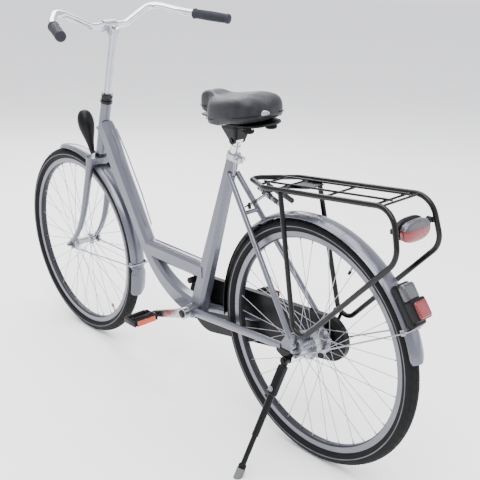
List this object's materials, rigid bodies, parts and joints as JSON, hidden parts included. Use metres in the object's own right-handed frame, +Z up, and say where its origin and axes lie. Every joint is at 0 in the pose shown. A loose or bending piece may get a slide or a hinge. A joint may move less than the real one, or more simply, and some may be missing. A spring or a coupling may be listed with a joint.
{
  "type": "bicycle",
  "caption": "Low-step city bicycle leaning on its side stand, with mudguards, closed chain case, rear rack, lamps and a wide sprung saddle.",
  "frame": {"origin": "middle of the bicycle's box, on the ground that its tyres and its stand rest on", "axes": "+X along the bicycle, forward; +Y to its left, where the stand is; +Z up. The bicycle leans towards its stand."},
  "size_m": [1.9187, 0.6416, 1.2254],
  "materials": {
    "silver_paint": "metallic gloss",
    "black_steel": "gloss",
    "black_plastic": "satin",
    "red_lens": "gloss",
    "clear_lens": "gloss",
    "bright_steel": "polished",
    "chain_steel": "oiled",
    "polished_alloy": "polished",
    "wheel_alloy": "satin",
    "tyre_rubber": "matte",
    "grip_rubber": "matte",
    "saddle_cover": "satin"
  },
  "bodies": {
    "frame": {"head_tube": "silver_paint", "main_tube": "silver_paint", "bridge_tube": "silver_paint", "seat_tube": "silver_paint", "left_stays": "silver_paint", "right_stays": "silver_paint", "headset_cups": "black_steel", "bottom_bracket_cups": "bright_steel", "seat_clamp": "black_steel", "rear_axle": "bright_steel", "rear_mudguard": "silver_paint", "rear_mudguard_front": "black_plastic", "rear_mudguard_stays": "bright_steel", "rack_frame": "black_steel", "rack_platform": "black_steel", "rack_strap": "black_steel", "rack_lamp_housing": "black_plastic", "rack_lamp_lens": "red_lens", "mudguard_lamp_housing": "black_plastic", "mudguard_lamp_lens": "red_lens", "chain_case_inner": "black_steel", "chain_case_outer": "black_steel", "chain": "chain_steel", "stand_bracket": "black_steel"},
    "fork": {"fork": "silver_paint", "headset_locknut": "black_steel", "front_axle": "bright_steel", "front_mudguard": "silver_paint", "front_mudguard_flap": "silver_paint", "front_mudguard_stays": "bright_steel", "head_lamp_housing": "black_plastic", "head_lamp_lens": "clear_lens"},
    "stem": {"stem": "polished_alloy", "stem_expander": "bright_steel"},
    "bar": {"handlebar": "polished_alloy", "left_grip": "grip_rubber", "right_grip": "grip_rubber"},
    "front_wheel": {"front_hub": "wheel_alloy", "front_spokes": "bright_steel", "front_rim": "wheel_alloy", "front_tyre": "tyre_rubber"},
    "rear_wheel": {"rear_hub": "wheel_alloy", "rear_spokes": "bright_steel", "rear_rim": "wheel_alloy", "rear_tyre": "tyre_rubber"},
    "sprocket": {"rear_sprocket": "chain_steel"},
    "cranks": {"crank_spindle": "bright_steel", "left_crank": "polished_alloy", "right_crank": "polished_alloy", "chainring": "chain_steel", "pedal_spindles": "bright_steel"},
    "left_pedal": {"left_pedal": "black_plastic"},
    "right_pedal": {"right_pedal": "black_plastic"},
    "stand": {"stand_leg": "black_steel", "stand_foot": "grip_rubber"},
    "post": {"seatpost": "bright_steel"},
    "saddle": {"saddle_clamp": "black_plastic", "saddle_rails": "bright_steel", "saddle_base": "black_plastic", "saddle_cushion": "saddle_cover"}
  },
  "joints": [
    {"name": "steering", "type": "hinge", "parent": "frame", "child": "fork", "pos_m": [0.42728, -0.02891, 0.7194], "axis": [-0.3156, 0.0622, 0.9468], "range_deg": [-60, 60]},
    {"name": "stem_height", "type": "slide", "parent": "fork", "child": "stem", "axis": [-0.3156, 0.0622, 0.9468], "range_m": [-0.08, 0.06]},
    {"name": "bar_tilt", "type": "hinge", "parent": "stem", "child": "bar", "pos_m": [0.31371, -0.00049, 1.15177], "axis": [0, 0.9978, -0.0656], "range_deg": [-30, 30]},
    {"name": "front_wheel_spin", "type": "hinge", "parent": "fork", "child": "front_wheel", "pos_m": [0.60589, -0.053, 0.35279], "axis": [0, 0.9978, -0.0656], "continuous": true},
    {"name": "rear_wheel_spin", "type": "hinge", "parent": "frame", "child": "rear_wheel", "pos_m": [-0.59411, -0.053, 0.35279], "axis": [0, 0.9978, -0.0656], "continuous": true},
    {"name": "crank_turn", "type": "hinge", "parent": "frame", "child": "cranks", "pos_m": [-0.08611, -0.05681, 0.29491], "axis": [0, 0.9978, -0.0656], "continuous": true},
    {"name": "sprocket_turn", "type": "hinge", "parent": "frame", "child": "sprocket", "pos_m": [-0.59411, -0.053, 0.35279], "axis": [0, 0.9978, -0.0656], "continuous": true},
    {"name": "left_pedal_turn", "type": "hinge", "parent": "cranks", "child": "left_pedal", "pos_m": [0.07556, -0.06025, 0.24249], "axis": [0, 0.9978, -0.0656], "continuous": true},
    {"name": "right_pedal_turn", "type": "hinge", "parent": "cranks", "child": "right_pedal", "pos_m": [-0.24779, -0.05336, 0.34733], "axis": [0, 0.9978, -0.0656], "continuous": true},
    {"name": "stand_fold", "type": "hinge", "parent": "frame", "child": "stand", "pos_m": [-0.56812, 0.0253, 0.31206], "axis": [-0.1749, 0.9789, 0.1059], "range_deg": [0, 105]},
    {"name": "seat_height", "type": "slide", "parent": "frame", "child": "post", "axis": [-0.3453, 0.0615, 0.9365], "range_m": [-0.02, 0.14]},
    {"name": "saddle_tilt", "type": "hinge", "parent": "post", "child": "saddle", "pos_m": [-0.29951, -0.01877, 0.87365], "axis": [0, 0.9978, -0.0656], "range_deg": [-12, 12]}
  ],
  "couplings": [
    {"joint": "sprocket_turn", "follows": "crank_turn", "ratio": 2.1111}
  ]
}
